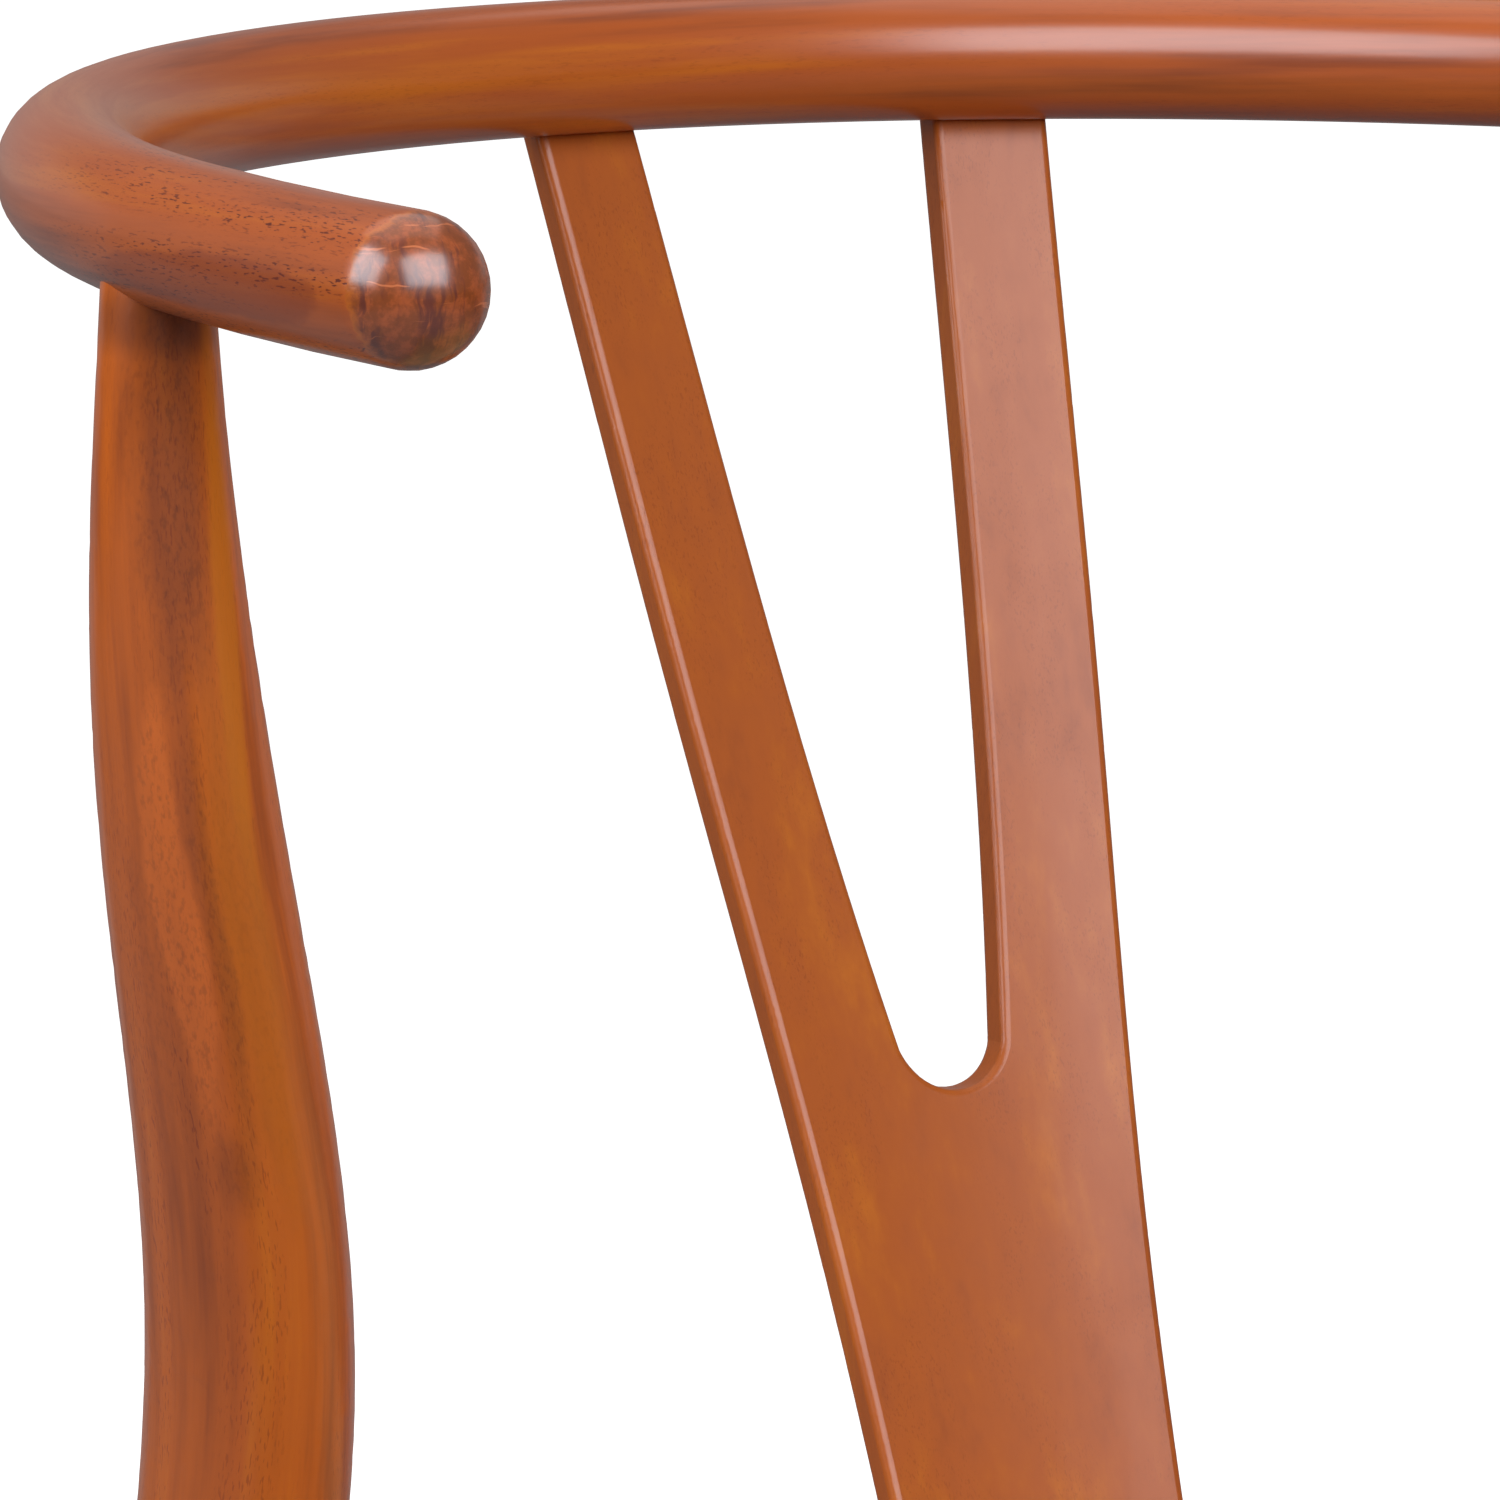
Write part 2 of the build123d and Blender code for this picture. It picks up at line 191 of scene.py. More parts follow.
def ranged(tree, value, low, high, toLow=0.0, toHigh=1.0):
    made = node(tree, "ShaderNodeMapRange", {0: value, 1: low, 2: high, 3: toLow, 4: toHigh})
    made.interpolation_type = "SMOOTHSTEP"
    return made.outputs[0]


def mixed(tree, factor, first, second, blend="MIX"):
    # sockets 0, 6 and 7 are the mix node's factor and its two colours
    made = node(
        tree, "ShaderNodeMix", {0: factor, 6: first, 7: second}, data_type="RGBA", blend_type=blend
    )
    return made.outputs[2]


def laid(tree, mask, share, under, over):
    return mixed(tree, times(tree, mask, share), under, over)


def noise(tree, vector, scale, detail=2.0, roughness=0.5):
    made = node(
        tree, "ShaderNodeTexNoise",
        {"Vector": vector, "Scale": scale, "Detail": detail, "Roughness": roughness},
    )
    return made.outputs[0]


def scaled(tree, vector, factors, shift=(0.0, 0.0, 0.0), turn=(0.0, 0.0, 0.0)):
    made = node(
        tree, "ShaderNodeMapping",
        {"Vector": vector, "Scale": factors, "Location": shift, "Rotation": turn},
    )
    return made.outputs[0]


def bumped(tree, height, strength, depth):
    made = node(tree, "ShaderNodeBump", {"Height": height, "Strength": strength, "Distance": depth})
    return made.outputs[0]


def newGroup(name, inputs, outputs):
    tree = bpy.data.node_groups.new(name, "ShaderNodeTree")
    for label, kind, value in inputs:
        socket = tree.interface.new_socket(label, in_out="INPUT", socket_type=kind)
        if value is not None:
            socket.default_value = value
    for label, kind in outputs:
        tree.interface.new_socket(label, in_out="OUTPUT", socket_type=kind)
    given = tree.nodes.new("NodeGroupInput").outputs
    return tree, given, tree.nodes.new("NodeGroupOutput").inputs


def useGroup(tree, group, inputs):
    made = tree.nodes.new("ShaderNodeGroup")
    made.node_tree = group
    for key, value in inputs.items():
        feed(tree, made.inputs[key], value)
    return made.outputs


# wood grain, its third axis along the fibres

grainSet = {
    "stretch": 0.045,
    "sway": (0.006, 0.006, 0.0),
    "swayScale": 9.0,
    "swayStretch": 0.5,
    "bandScale": 52.0,
    "lineScale": 330.0,
    "lineShare": 0.45,
    "blotchScale": 17.0,
    "blotchStretch": 0.4,
    "blotchShare": 0.3,
    "middleLevels": (0.22, 0.52),
    "goldenLevels": (0.50, 0.72),
    "fleckScale": 2500.0,
    "fleckStretch": 0.16,
    "fleckLevels": (0.58, 0.68),
    "fleckedScale": 110.0,
    "fleckedLevels": (0.40, 0.60),
    "roughLevels": (0.3, 0.7),
    "roughness": (0.40, 0.30),
    "fleckHeight": -0.6,
    "lineHeight": 0.4,
}


def makeGrainGroup(spec):
    tree, given, out = newGroup(
        "woodGrain",
        [
            ("Vector", "NodeSocketVector", None),
            ("Golden", "NodeSocketColor", tint(192, 101, 24)),
            ("Middle", "NodeSocketColor", tint(174, 82, 26)),
            ("Deep", "NodeSocketColor", tint(120, 52, 22)),
            ("Bands", "NodeSocketFloat", 1.0),
            ("Flecks", "NodeSocketFloat", 0.5),
        ],
        [("Color", "NodeSocketColor"), ("Roughness", "NodeSocketFloat"), ("Height", "NodeSocketFloat")],
    )
    slow = scaled(tree, given["Vector"], (1.0, 1.0, spec["swayStretch"]))
    bent = swung(tree, given["Vector"], noise(tree, slow, spec["swayScale"], 1.0), spec["sway"])
    along = scaled(tree, bent, (1.0, 1.0, spec["stretch"]))
    band = noise(tree, along, spec["bandScale"], 3.0, 0.55)
    line = noise(tree, along, spec["lineScale"], 3.0, 0.6)
    wide = scaled(tree, bent, (1.0, 1.0, spec["blotchStretch"]))
    blotch = noise(tree, wide, spec["blotchScale"], 3.0, 0.6)
    level = maths(tree, "MULTIPLY_ADD", centred(tree, line), spec["lineShare"], band)
    level = maths(tree, "MULTIPLY_ADD", centred(tree, blotch), spec["blotchShare"], level)
    level = maths(tree, "MULTIPLY_ADD", centred(tree, level), given["Bands"], 0.5)
    middle = ranged(tree, level, *spec["middleLevels"])
    colour = mixed(tree, middle, given["Deep"], given["Middle"])
    colour = mixed(tree, ranged(tree, level, *spec["goldenLevels"]), colour, given["Golden"])
    short = scaled(tree, bent, (1.0, 1.0, spec["fleckStretch"]))
    pore = ranged(tree, noise(tree, short, spec["fleckScale"], 1.0), *spec["fleckLevels"])
    flecked = ranged(tree, noise(tree, along, spec["fleckedScale"], 2.0), *spec["fleckedLevels"])
    fleck = times(tree, times(tree, pore, flecked), given["Flecks"])
    colour = mixed(tree, fleck, colour, given["Deep"], "MULTIPLY")
    tree.links.new(colour, out["Color"])
    rough = ranged(tree, level, *spec["roughLevels"], *spec["roughness"])
    tree.links.new(rough, out["Roughness"])
    lines = times(tree, line, spec["lineHeight"])
    tree.links.new(maths(tree, "MULTIPLY_ADD", fleck, spec["fleckHeight"], lines), out["Height"])
    return tree


# a dark or light patch with a wandering edge, at one place on the wood


def makePatchGroup(edgeStretch=0.35):
    tree, given, out = newGroup(
        "patch",
        [
            ("Vector", "NodeSocketVector", None),
            ("Centre", "NodeSocketVector", (0.0, 0.0, 0.0)),
            ("Spread", "NodeSocketVector", (0.01, 0.01, 0.05)),
            ("Wander", "NodeSocketFloat", 0.6),
            ("Softness", "NodeSocketFloat", 0.3),
            ("Detail Scale", "NodeSocketFloat", 60.0),
        ],
        [("Mask", "NodeSocketFloat")],
    )
    offset = vectors(tree, "SUBTRACT", given["Vector"], given["Centre"])
    part = vectors(tree, "DIVIDE", offset, given["Spread"])
    reach = node(tree, "ShaderNodeVectorMath", {0: part}, operation="LENGTH").outputs["Value"]
    along = scaled(tree, given["Vector"], (1.0, 1.0, edgeStretch))
    edge = noise(tree, along, given["Detail Scale"], 3.0, 0.6)
    reach = maths(tree, "ADD", reach, times(tree, centred(tree, edge), given["Wander"]))
    inner = maths(tree, "SUBTRACT", 1.0, given["Softness"])
    outer = maths(tree, "ADD", 1.0, given["Softness"])
    tree.links.new(ranged(tree, reach, inner, outer, 1.0, 0.0), out["Mask"])
    return tree


# coordinates that follow the bent rail: across, up, along

bendSet = {"radius": 0.2612, "centreY": -0.020, "height": 0.746}


def makeBendGroup(spec):
    tree, given, out = newGroup(
        "bentRail", [("Vector", "NodeSocketVector", None)], [("Vector", "NodeSocketVector")]
    )
    place = split(tree, given["Vector"])
    behind = maths(tree, "SUBTRACT", place[1], spec["centreY"])
    bow = maths(tree, "MAXIMUM", behind, 0.0)
    ahead = maths(tree, "MINIMUM", behind, 0.0)
    squares = maths(tree, "ADD", times(tree, place[0], place[0]), times(tree, bow, bow))
    across = maths(tree, "SUBTRACT", maths(tree, "SQRT", squares), spec["radius"])
    angle = maths(tree, "ARCTAN2", place[0], bow)
    straight = times(tree, times(tree, ahead, maths(tree, "SIGN", place[0])), -1.0)
    run = maths(tree, "MULTIPLY_ADD", angle, spec["radius"], straight)
    up = maths(tree, "SUBTRACT", place[2], spec["height"])
    tree.links.new(joined(tree, across, up, run), out["Vector"])
    return tree


# coordinates that follow a rear leg's bent axis, the same for both legs

legAxisSet = {
    "height": 0.76,
    "reach": 0.30,
    "stations": [  # height, out from the middle, back
        (0.0, 0.2000, 0.2240), (0.185, 0.1940, 0.1840), (0.340, 0.1903, 0.1495),
        (0.432, 0.1923, 0.1235), (0.520, 0.2047, 0.0825), (0.580, 0.2255, 0.0520),
        (0.640, 0.2466, 0.0250), (0.733, 0.2600, 0.0050),
    ],
}


def makeLegAxisGroup(spec):
    tree, given, out = newGroup(
        "legAxis", [("Vector", "NodeSocketVector", None)], [("Vector", "NodeSocketVector")]
    )
    place = split(tree, given["Vector"])
    share = maths(tree, "DIVIDE", place[2], spec["height"])
    axes = []
    for column in (1, 2):
        follow = node(tree, "ShaderNodeFloatCurve", {"Value": share})
        line = follow.mapping.curves[0]
        stations = [(row[0] / spec["height"], row[column] / spec["reach"]) for row in spec["stations"]]
        line.points[0].location = stations[0]
        line.points[1].location = stations[-1]
        for station in stations[1:-1]:
            line.points.new(*station)
        follow.mapping.update()
        axes.append(times(tree, follow.outputs[0], spec["reach"]))
    outward = maths(tree, "SUBTRACT", maths(tree, "ABSOLUTE", place[0]), axes[0])
    backward = maths(tree, "SUBTRACT", place[1], axes[1])
    tree.links.new(joined(tree, outward, backward, place[2]), out["Vector"])
    return tree


# end grain on the rounded arm ends: rings cut across, rays, and a glazed edge

endSet = {
    "from": 0.4895,
    "edge": 0.0006,
    "ragged": 0.008,
    "raggedScale": 330.0,
    "raggedStretch": 0.4,
    "sway": (0.0035, 0.0035, 0.0),
    "swayScale": 160.0,
    "groundScale": 420.0,
    "groundLevels": (0.4, 0.7),
    "groundTones": (tint(128, 60, 18), tint(160, 76, 32)),
    "rings": (520.0, 70.0, 120.0),
    "ringLevels": (0.45, 0.60),
    "ringShare": 0.85,
    "ringTone": tint(88, 34, 24),
    "cellScale": 190.0,
    "cellStretch": (1.0, 0.45, 1.0),
    "cellLevels": (0.34, 0.62),
    "rays": (90.0, 1300.0, 70.0),
    "rayLevels": (0.68, 0.73),
    "rayShare": 0.55,
    "rayTone": tint(214, 118, 66),
    "rim": 0.0030,
    "rimShare": 0.75,
    "rimTone": tint(196, 100, 14),
}


def makeEndGroup(spec):
    tree, given, out = newGroup(
        "endGrain",
        [("Vector", "NodeSocketVector", None), ("Side Color", "NodeSocketColor", (0.5, 0.2, 0.1, 1.0))],
        [("Color", "NodeSocketColor"), ("Mask", "NodeSocketFloat")],
    )
    place = given["Vector"]
    run = maths(tree, "ABSOLUTE", split(tree, place)[2])
    along = scaled(tree, place, (1.0, 1.0, spec["raggedStretch"]))
    ragged = noise(tree, along, spec["raggedScale"], 4.0, 0.65)
    run = maths(tree, "MULTIPLY_ADD", centred(tree, ragged), spec["ragged"], run)
    mask = ranged(tree, run, spec["from"], spec["from"] + spec["edge"])
    swayed = swung(tree, place, noise(tree, place, spec["swayScale"], 2.0), spec["sway"])
    rings = noise(tree, scaled(tree, swayed, spec["rings"]), 1.0, 3.0, 0.7)
    cells = noise(tree, scaled(tree, place, spec["cellStretch"]), spec["cellScale"], 2.0)
    rings = ranged(tree, rings, *spec["ringLevels"])
    darkness = times(tree, rings, ranged(tree, cells, *spec["cellLevels"]))
    ground = noise(tree, place, spec["groundScale"], 3.0, 0.7)
    colour = mixed(tree, ranged(tree, ground, *spec["groundLevels"]), *spec["groundTones"])
    colour = laid(tree, darkness, spec["ringShare"], colour, spec["ringTone"])
    rays = noise(tree, scaled(tree, swayed, spec["rays"]), 1.0, 1.0)
    colour = laid(tree, ranged(tree, rays, *spec["rayLevels"]), spec["rayShare"], colour, spec["rayTone"])
    rim = ranged(tree, run, spec["from"], spec["from"] + spec["rim"])
    rim = maths(tree, "SUBTRACT", 1.0, rim)
    colour = laid(tree, rim, spec["rimShare"], colour, spec["rimTone"])
    tree.links.new(mixed(tree, mask, given["Side Color"], colour), out["Color"])
    tree.links.new(mask, out["Mask"])
    return tree


grainGroup = makeGrainGroup(grainSet)
patchGroup = makePatchGroup()
bendGroup = makeBendGroup(bendSet)
legAxisGroup = makeLegAxisGroup(legAxisSet)
endGroup = makeEndGroup(endSet)

# lacquered wood: one material for each run of the grain

finishSet = {
    "coat": 0.7,
    "endCoat": 1.0,
    "coatIor": 1.62,
    "coatRoughness": 0.22,
    "specular": 0.4,
    "bump": 0.12,
    "bumpDepth": 0.0004,
    "armFrom": (0.34, 0.43),
    "backFlecks": 0.15,
}
speckSet = {"scale": 1000.0, "stretch": 0.45, "levels": (0.46, 0.70), "tone": tint(84, 36, 16)}


def startMaterial(name):
    material = bpy.data.materials.new(name)
    material.use_nodes = True
    tree = material.node_tree
    return material, tree, tree.nodes["Principled BSDF"]


def addMark(tree, place, colour, mark):
    mask = useGroup(tree, patchGroup, {"Vector": place, **mark["patch"]})[0]
    colour = laid(tree, mask, mark["amount"], colour, mark["tone"])
    if "specks" in mark:
        along = scaled(tree, place, (1.0, 1.0, speckSet["stretch"]))
        specks = ranged(tree, noise(tree, along, speckSet["scale"], 2.0, 0.6), *speckSet["levels"])
        colour = laid(tree, times(tree, specks, mask), mark["specks"], colour, speckSet["tone"])
    return colour


def makeWood(
    name, turn=(0.0, 0.0, 0.0), bent=False, axis=None, marks=(), shift=(0.0, 0.0, 0.0),
    finish=None, **grain,
):
    finish = {**finishSet, **(finish or {})}
    material, tree, shader = startMaterial(name)
    place = node(tree, "ShaderNodeTexCoord").outputs["Object"]
    if bent:  # fine dark flecks on the arms, few round the back
        place = useGroup(tree, bendGroup, {"Vector": place})[0]
        run = maths(tree, "ABSOLUTE", split(tree, place)[2])
        grain["Flecks"] = ranged(tree, run, *finish["armFrom"], finish["backFlecks"], grain["Flecks"])
    followed = useGroup(tree, axis, {"Vector": place})[0] if axis else place
    fibres = scaled(tree, followed, (1.0, 1.0, 1.0), shift, turn)
    wood = useGroup(tree, grainGroup, {"Vector": fibres, **grain})
    colour = wood["Color"]
    for mark in marks:
        colour = addMark(tree, followed, colour, mark)
    shader.inputs["Coat Weight"].default_value = finish["coat"]
    if bent:
        tip = useGroup(tree, endGroup, {"Vector": place, "Side Color": colour})
        colour = tip["Color"]
        coat = ranged(tree, tip["Mask"], 0.0, 1.0, finish["coat"], finish["endCoat"])
        tree.links.new(coat, shader.inputs["Coat Weight"])
    tree.links.new(colour, shader.inputs["Base Color"])
    tree.links.new(wood["Roughness"], shader.inputs["Roughness"])
    normal = bumped(tree, wood["Height"], finish["bump"], finish["bumpDepth"])
    tree.links.new(normal, shader.inputs["Normal"])
    shader.inputs["Coat Roughness"].default_value = finish["coatRoughness"]
    shader.inputs["Coat IOR"].default_value = finish["coatIor"]
    shader.inputs["Specular IOR Level"].default_value = finish["specular"]
    return material


def paint(names, material):
    for name in names:
        mesh = nodes[name].data
        mesh.materials.clear()
        mesh.materials.append(material)


def patch(centre, spread, wander, softness, detail):
    return {
        "Centre": centre, "Spread": spread, "Wander": wander, "Softness": softness,
        "Detail Scale": detail,
    }


railMarks = [  # across, up and along the rail; dark reddish streak on the left arm
    {"patch": patch((0.0137, -0.0190, -0.435), (0.014, 0.0056, 0.044), 0.9, 0.10, 110.0),
     "amount": 0.5, "tone": tint(124, 48, 22)},
]
legMarks = [  # out, back and up from the left rear leg's axis
    # shade under the arm, then the dark band with its golden stripe
    {"patch": patch((0.002, -0.010, 0.717), (0.014, 0.014, 0.006), 0.9, 0.5, 60.0),
     "amount": 0.6, "tone": tint(88, 38, 14)},
    {"patch": patch((0.0055, -0.013, 0.690), (0.0066, 0.010, 0.036), 0.9, 0.5, 90.0),
     "amount": 0.5, "specks": 0.35, "tone": tint(100, 44, 22)},
    {"patch": patch((-0.0034, -0.0148, 0.662), (0.0026, 0.010, 0.058), 0.8, 0.35, 90.0),
     "amount": 0.75, "tone": tint(206, 112, 6)},
    {"patch": patch((0.0000, -0.0165, 0.596), (0.0048, 0.010, 0.052), 0.8, 0.45, 70.0),
     "amount": 0.6, "specks": 0.1, "tone": tint(190, 98, 6)},
    # orange streak with a darker one on each side
    {"patch": patch((0.0200, -0.0120, 0.606), (0.0056, 0.010, 0.040), 0.7, 0.6, 70.0),
     "amount": 0.15, "specks": 0.2, "tone": tint(160, 72, 26)},
    {"patch": patch((0.0118, -0.0135, 0.604), (0.0034, 0.009, 0.044), 0.6, 0.2, 130.0),
     "amount": 0.5, "specks": 0.25, "tone": tint(236, 118, 36)},
    {"patch": patch((0.0062, -0.0178, 0.606), (0.0020, 0.010, 0.040), 0.9, 0.5, 90.0),
     "amount": 0.4, "specks": 0.3, "tone": tint(140, 66, 16)},
    # small smudge
    {"patch": patch((0.0099, -0.0202, 0.5535), (0.0030, 0.009, 0.0066), 1.3, 0.8, 160.0),
     "amount": 0.35, "specks": 0.2, "tone": tint(108, 48, 12)},
]
legTones = {"Golden": tint(222, 118, 16), "Middle": tint(204, 98, 18), "Deep": tint(146, 64, 18)}
splatTones = {"Golden": tint(190, 105, 28), "Middle": tint(170, 85, 28), "Deep": tint(128, 58, 26)}
quarter = math.radians(90)
railWood = makeWood("railWood", bent=True, marks=railMarks, Bands=0.85, Flecks=1.0)
leftLegWood = makeWood(
    "leftLegWood", axis=legAxisGroup, marks=legMarks, Bands=0.8, Flecks=0.4, **legTones
)
rightLegWood = makeWood(
    "rightLegWood", axis=legAxisGroup, shift=(0.5, 0.2, 0.1), Bands=0.9, Flecks=0.5, **legTones
)
frontLegWood = makeWood("frontLegWood", shift=(0.7, 0.4, 0.0), Bands=0.7, Flecks=0.3, **legTones)
splatWood = makeWood(
    "splatWood", shift=(0.3, 0.1, 0.2), finish={"coat": 0.2}, Bands=0.5, Flecks=0.2, **splatTones
)
crossWood = makeWood("crossWood", turn=(0.0, quarter, 0.0), Bands=0.9, Flecks=0.5)
deepWood = makeWood("deepWood", turn=(quarter, 0.0, 0.0), Bands=0.9, Flecks=0.5)


railSet = {"weld": 0.000002, "crease": 35}


def smoothCopy(name, source, spec):
    # one skin, so that light runs evenly over the rounded ends
    bm = bmesh.new()
    bm.from_mesh(nodes[source].data)
    bmesh.ops.remove_doubles(bm, verts=bm.verts, dist=spec["weld"])
    for face in bm.faces:
        face.smooth = True
    mesh = bpy.data.meshes.new(name)
    bm.to_mesh(mesh)
    bm.free()
    if "custom_normal" in mesh.attributes:
        mesh.attributes.remove(mesh.attributes["custom_normal"])
    mesh.set_sharp_from_angle(angle=math.radians(spec["crease"]))
    piece = bpy.data.objects.new(name, mesh)
    scene.collection.objects.link(piece)
    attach(piece, "root")
    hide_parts(source)
    return piece


topRail = smoothCopy("topRail", "top_rail", railSet)
topRail.data.materials.append(railWood)
paint(["rear_leg_left"], leftLegWood)
paint(["rear_leg_right"], rightLegWood)
paint(["front_leg_left", "front_leg_right"], frontLegWood)
paint(["back_splat"], splatWood)
paint(["seat_rail_front", "seat_rail_rear", "stretcher_front", "stretcher_rear"], crossWood)
paint(["seat_rail_left", "seat_rail_right", "stretcher_left", "stretcher_right"], deepWood)
print("wood painted")

# card, nylon and steel

plainSet = {
    "cardboard": {
        "tones": (tint(150, 116, 78), tint(184, 150, 108)), "scale": 420.0,
        "roughness": (0.75, 0.9), "metallic": 0.0, "stretch": (1.0, 1.0, 1.0),
    },
    "nylon": {
        "tones": (tint(196, 190, 178), tint(214, 209, 198)), "scale": 300.0,
        "roughness": (0.42, 0.55), "metallic": 0.0, "stretch": (1.0, 1.0, 1.0),
    },
    "steel": {
        "tones": (tint(150, 150, 152), tint(190, 190, 190)), "scale": 900.0,
        "roughness": (0.22, 0.4), "metallic": 1.0, "stretch": (1.0, 1.0, 0.1),
    },
    "levels": (0.3, 0.7),
    "bump": 0.1,
    "bumpDepth": 0.0003,
}


def makePlain(name, spec):
    look = spec[name]
    material, tree, shader = startMaterial(name)
    place = scaled(tree, node(tree, "ShaderNodeTexCoord").outputs["Object"], look["stretch"])
    spots = noise(tree, place, look["scale"], 4.0, 0.6)
    shade = ranged(tree, spots, *spec["levels"])
    tree.links.new(mixed(tree, shade, *look["tones"]), shader.inputs["Base Color"])
    rough = ranged(tree, spots, *spec["levels"], *look["roughness"])
    tree.links.new(rough, shader.inputs["Roughness"])
    shader.inputs["Metallic"].default_value = look["metallic"]
    tree.links.new(bumped(tree, spots, spec["bump"], spec["bumpDepth"]), shader.inputs["Normal"])
    return material


paint([name for name in nodes if name.startswith("seat_insert")], makePlain("cardboard", plainSet))
paint([name for name in nodes if name.startswith("foot_glide")], makePlain("nylon", plainSet))
paint(["glide_nails", "cord_nails", "cord_tacks"], makePlain("steel", plainSet))

# twisted paper cord; each strand has its own step along the map's second axis

cordSet = {
    "radius": 0.00163,
    "bevelSteps": 1,
    "weld": 0.00001,
    "strandStep": 0.37,
    "twists": 190.0,
    "plies": 2.0,
    "groove": 0.35,
    "fibres": (9.0, 900.0, 1.0),
    "fibreLevels": (0.4, 0.75),
    "fibreShare": 0.3,
    "fibreTone": tint(170, 130, 84),
    "toneScale": 9.0,
    "toneLevels": (0.2, 0.8),
    "tones": (tint(208, 174, 126), tint(222, 192, 146)),
    "strandShare": 0.35,
    # painted shade for the grooves between the plies
    "strandTone": tint(182, 142, 94),
    "grooveShadeTone": tint(120, 86, 52),
    "roughLevels": (0.3, 0.7),
    "roughness": (0.62, 0.78),
    "fibreHeight": 0.15,
    "bump": 0.7,
    "bumpDepth": 0.0004,
    "specular": 0.35,
}


def makePaperCord(spec):
    material, tree, shader = startMaterial("paperCord")
    around = node(tree, "ShaderNodeUVMap", uv_map="UVMap").outputs[0]
    part = split(tree, around)
    place = node(tree, "ShaderNodeTexCoord").outputs["Object"]
    twist = maths(tree, "MULTIPLY_ADD", part[1], spec["twists"], times(tree, part[0], spec["plies"]))
    groove = ranged(tree, maths(tree, "PINGPONG", twist, 1.0), 0.0, spec["groove"])
    fibre = noise(tree, scaled(tree, around, spec["fibres"]), 1.0, 3.0)
    tone = noise(tree, place, spec["toneScale"], 2.0, 0.5)
    index = maths(tree, "FLOOR", maths(tree, "DIVIDE", part[1], spec["strandStep"]))
    strand = node(tree, "ShaderNodeTexWhiteNoise", {"W": index}, noise_dimensions="1D").outputs["Value"]
    colour = mixed(tree, ranged(tree, tone, *spec["toneLevels"]), *spec["tones"])
    colour = laid(tree, strand, spec["strandShare"], colour, spec["strandTone"])
    dull = ranged(tree, fibre, *spec["fibreLevels"])
    colour = laid(tree, dull, spec["fibreShare"], colour, spec["fibreTone"])
    # the twist's grooves get a darker tone: painted shade in the recesses between the plies
    tree.links.new(mixed(tree, groove, spec["grooveShadeTone"], colour), shader.inputs["Base Color"])
    rough = ranged(tree, fibre, *spec["roughLevels"], *spec["roughness"])
    tree.links.new(rough, shader.inputs["Roughness"])
    height = maths(tree, "MULTIPLY_ADD", fibre, spec["fibreHeight"], groove)
    tree.links.new(bumped(tree, height, spec["bump"], spec["bumpDepth"]), shader.inputs["Normal"])
    shader.inputs["Specular IOR Level"].default_value = spec["specular"]
    return material


paperCord = makePaperCord(cordSet)

# woven seat: a cord goes square over its rail, then dives at the corners' mitre lines

seatSet = {
    "pitch": 0.0032,
    "centreY": -0.0325,
    "centreHalf": 0.0363,
    "centreTop": 0.4424,
    "centreBottom": 0.4076,
    "frontHalf": 0.2195,
    "rearHalf": 0.1725,
    "sideStart": -0.21575,
    "sideEnd": 0.1037,
    "frontCorner": (0.2385, -0.23475),
    "rearCorner": (0.1923, 0.1235),
    "frontRail": {"line": -0.2346, "height": 0.420, "round": 0.0106},
    "rearRail": {"line": 0.128, "height": 0.420, "round": 0.0126},
    "sideRail": {"height": 0.432, "round": 0.0106},
    "railReach": 0.0166,
    "railTurns": (90, 62, 34, 8, -8, -34, -62, -90),
    "blockHalf": 0.037,
    "blockFace": 0.1108,
    "blockBend": 0.003,
    "blockSoft": 0.3,
    "upperDive": [(-0.0006, -0.009), (-0.0002, -0.004), (0.001, -0.0012)],  # towards the rail, up
    "lowerDive": [(0.0, 0.0012), (-0.0005, 0.009)],
    "flatFrom": 0.003,
    "shortest": 0.006,
    "crowned": 0.03,
    "crown": 0.0004,
}


def strandPoints(spec, rail, line, dive, reachFrom, flatFace=False):
    # run and height of one strand, from its upper dive round the rail to its lower dive
    way = 1.0 if line > dive else -1.0
    high = rail["height"] + spec["railReach"]
    low = rail["height"] - spec["railReach"]
    span = abs(line - reachFrom) or 1.0
    length = abs(line - dive)
    start = dive + way * spec["flatFrom"]

    def above(run):
        return high + (spec["centreTop"] - high) * min(1.0, abs(line - run) / span)

    def below(run):
        return low + (spec["centreBottom"] - low) * min(1.0, abs(line - run) / span)

    points = [(dive + way * ahead, above(dive) + up) for ahead, up in spec["upperDive"]]
    if length > spec["shortest"]:
        points.append((start, above(start)))
    if length > spec["crowned"]:
        middle = (start + line) / 2
        points.append((middle, above(middle) + spec["crown"]))
    if flatFace:
        face, bend = spec["blockFace"], spec["blockBend"]
        soft = bend * spec["blockSoft"]
        points += [(face - bend, above(face)), (face - soft, high - soft), (face, high - bend)]
        points += [(face, low + bend), (face - soft, low + soft), (face - bend, below(face))]
    else:
        turn = rail["round"]
        straight = spec["railReach"] - turn
        for degrees in spec["railTurns"]:
            angle = math.radians(degrees)
            lift = straight if degrees > 0 else -straight
            height = rail["height"] + lift + turn * math.sin(angle)
            points.append((line + way * turn * math.cos(angle), height))
    if length > spec["shortest"]:
        points.append((start, below(start)))
    points += [(dive + way * ahead, below(dive) + up) for ahead, up in spec["lowerDive"]]
    return points


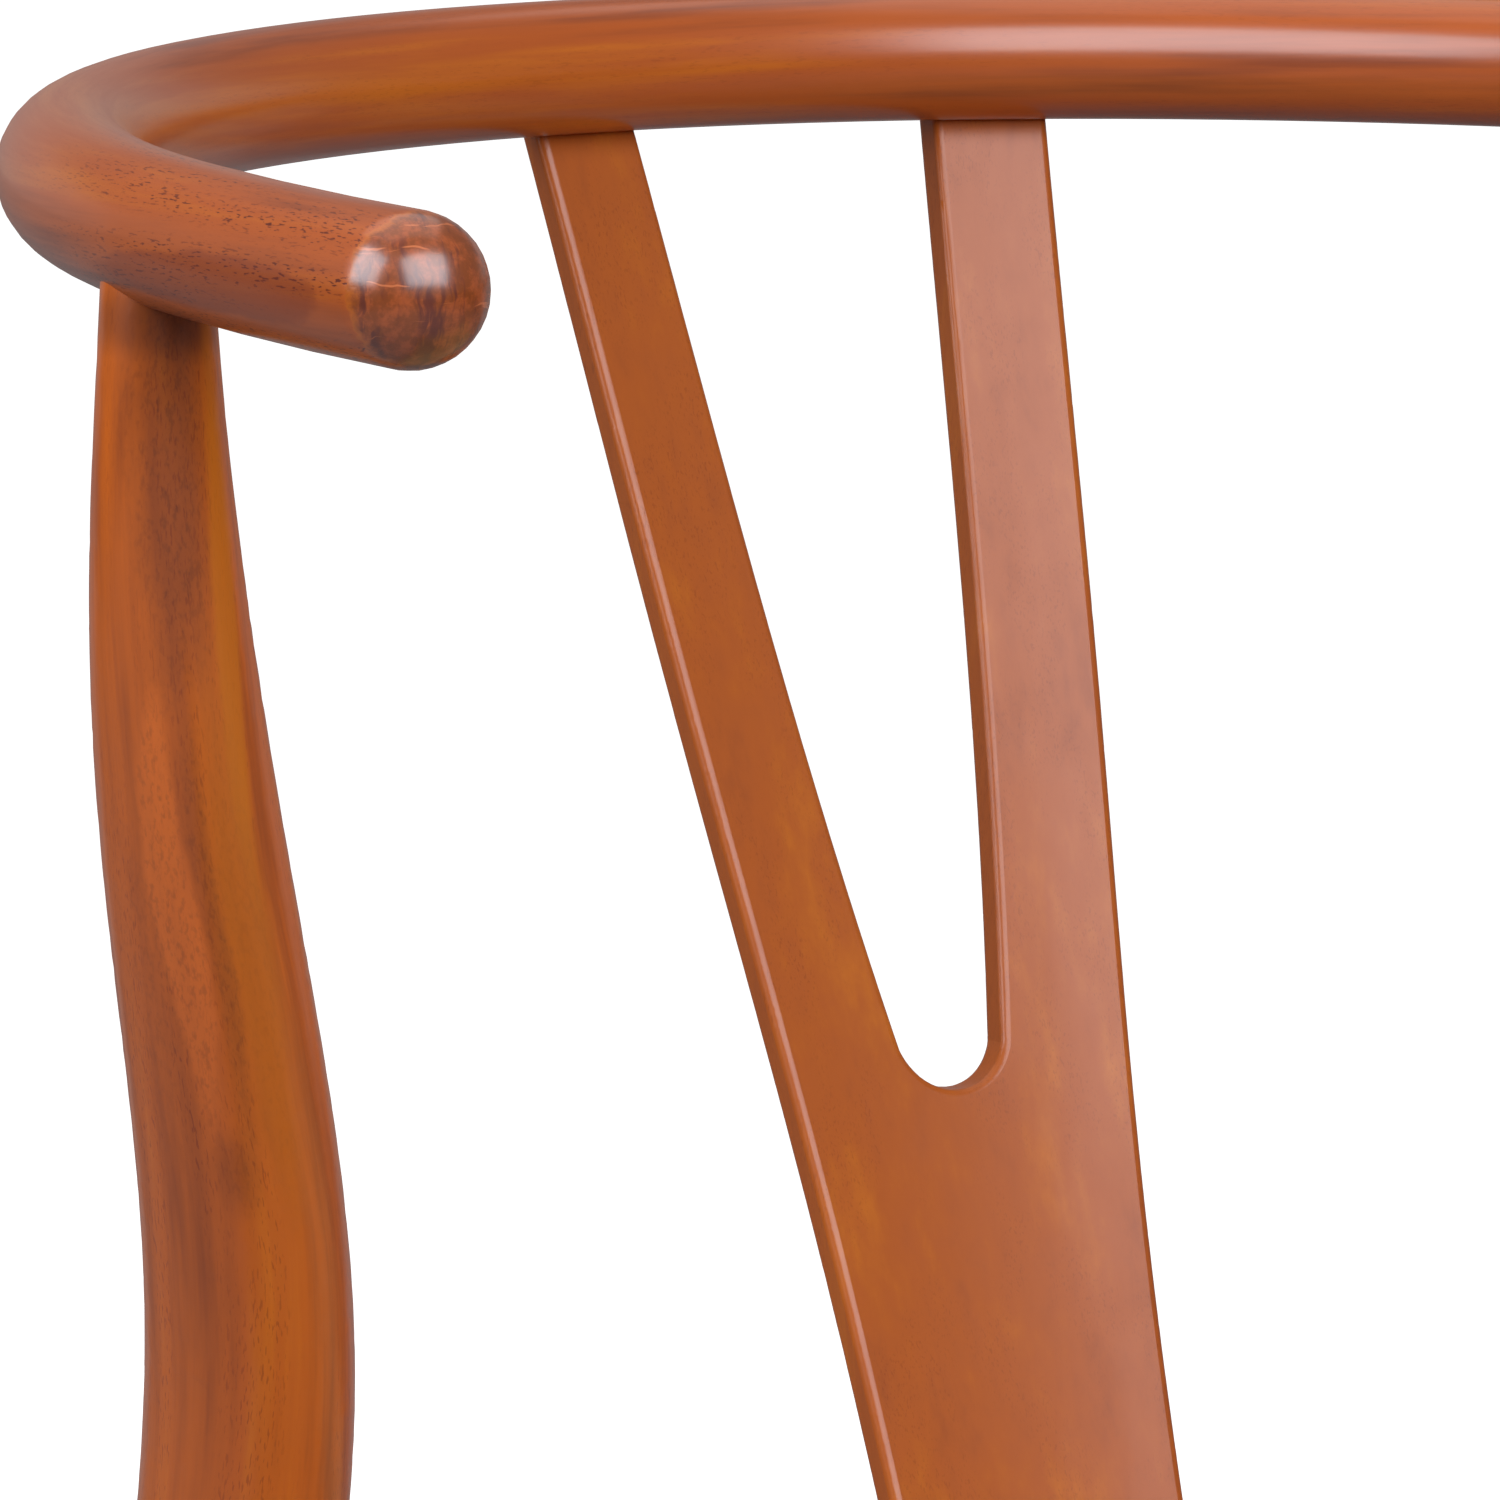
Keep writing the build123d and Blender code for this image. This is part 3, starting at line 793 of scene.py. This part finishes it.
def makeStrands(name, pitch, cord, strands, axis):
    # strands: points in space for each cord, side by side along one axis
    curve = bpy.data.curves.new(name, "CURVE")
    curve.dimensions = "3D"
    curve.bevel_depth = cord["radius"]
    curve.bevel_resolution = cord["bevelSteps"]
    curve.use_fill_caps = True
    lengths = []
    for points in strands:
        spline = curve.splines.new("POLY")
        spline.points.add(len(points) - 1)
        for knot, place in zip(spline.points, points):
            knot.co = (*place, 1.0)
        lengths.append(sum((Vector(b) - Vector(a)).length for a, b in zip(points, points[1:])))
    holder = bpy.data.objects.new(name + "Curve", curve)
    scene.collection.objects.link(holder)
    mesh = bpy.data.meshes.new_from_object(holder)
    bpy.data.objects.remove(holder)
    mesh.name = name
    bm = bmesh.new()
    bm.from_mesh(mesh)
    bmesh.ops.remove_doubles(bm, verts=bm.verts, dist=cord["weld"])
    bmesh.ops.recalc_face_normals(bm, faces=bm.faces)
    layer = bm.loops.layers.uv.active
    begin = strands[0][0][axis]
    for face in bm.faces:
        face.smooth = True
        middle = face.calc_center_median()[axis]
        index = min(len(lengths) - 1, max(0, round((middle - begin) / pitch)))
        for loop in face.loops:
            loop[layer].uv.y *= lengths[index]
            loop[layer].uv.y += cord["strandStep"] * index
    bm.to_mesh(mesh)
    bm.free()
    piece = bpy.data.objects.new(name, mesh)
    scene.collection.objects.link(piece)
    mesh.materials.append(paperCord)
    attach(piece, "root")
    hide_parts("seat_weave")


def evenly(low, high, pitch):
    count = int((high - low) / pitch + 0.5)
    first = (low + high - (count - 1) * pitch) / 2
    return [first + pitch * index for index in range(count)]


def makeSeat(spec, cord):
    pitch, centreY, centreHalf = spec["pitch"], spec["centreY"], spec["centreHalf"]
    for name, half, rail, way in (
        ("seatCordFront", spec["frontHalf"], spec["frontRail"], -1.0),
        ("seatCordRear", spec["rearHalf"], spec["rearRail"], 1.0),
    ):
        strands = []
        for x in evenly(-half, half, pitch):
            dive = centreY + way * max(0.0, abs(x) - centreHalf)
            nailed = way > 0 and abs(x) < spec["blockHalf"]
            run = strandPoints(spec, rail, rail["line"], dive, centreY, nailed)
            strands.append([(x, y, z) for y, z in run])
        makeStrands(name, pitch, cord, strands, 0)
    (frontX, frontY), (rearX, rearY) = spec["frontCorner"], spec["rearCorner"]
    for name, side in (("seatCordLeft", -1.0), ("seatCordRight", 1.0)):
        strands = []
        for y in evenly(spec["sideStart"], spec["sideEnd"], pitch):
            line = frontX + (rearX - frontX) * (y - frontY) / (rearY - frontY)
            dive = centreHalf + abs(y - centreY)
            run = strandPoints(spec, spec["sideRail"], line, dive, centreHalf)
            strands.append([(side * x, y, z) for x, z in run])
        makeStrands(name, pitch, cord, strands, 1)


makeSeat(seatSet, cordSet)
print("seat woven")

# white studio floor: it glows for the camera, and lights the chair like a pale one

floorSet = {
    "size": 60.0,
    "seen": (0.93, 0.93, 0.93, 1),
    "lit": (0.24, 0.23, 0.23, 1),
    "glow": (1.0, 1.0, 1.0, 1),
    "roughness": 0.9,
    "specular": 0.1,
}


def makeFloor(spec):
    bm = bmesh.new()
    bmesh.ops.create_grid(bm, x_segments=1, y_segments=1, size=spec["size"] / 2)
    mesh = bpy.data.meshes.new("floor")
    bm.to_mesh(mesh)
    bm.free()
    floor = bpy.data.objects.new("floor", mesh)
    scene.collection.objects.link(floor)
    material, tree, shader = startMaterial("studioFloor")
    direct = node(tree, "ShaderNodeLightPath").outputs["Is Camera Ray"]
    tree.links.new(mixed(tree, direct, spec["lit"], spec["seen"]), shader.inputs["Base Color"])
    glow = mixed(tree, direct, (0, 0, 0, 1), spec["glow"])
    tree.links.new(glow, shader.inputs["Emission Color"])
    shader.inputs["Emission Strength"].default_value = 1.0
    shader.inputs["Roughness"].default_value = spec["roughness"]
    shader.inputs["Specular IOR Level"].default_value = spec["specular"]
    mesh.materials.append(material)


makeFloor(floorSet)
print("floor in place")
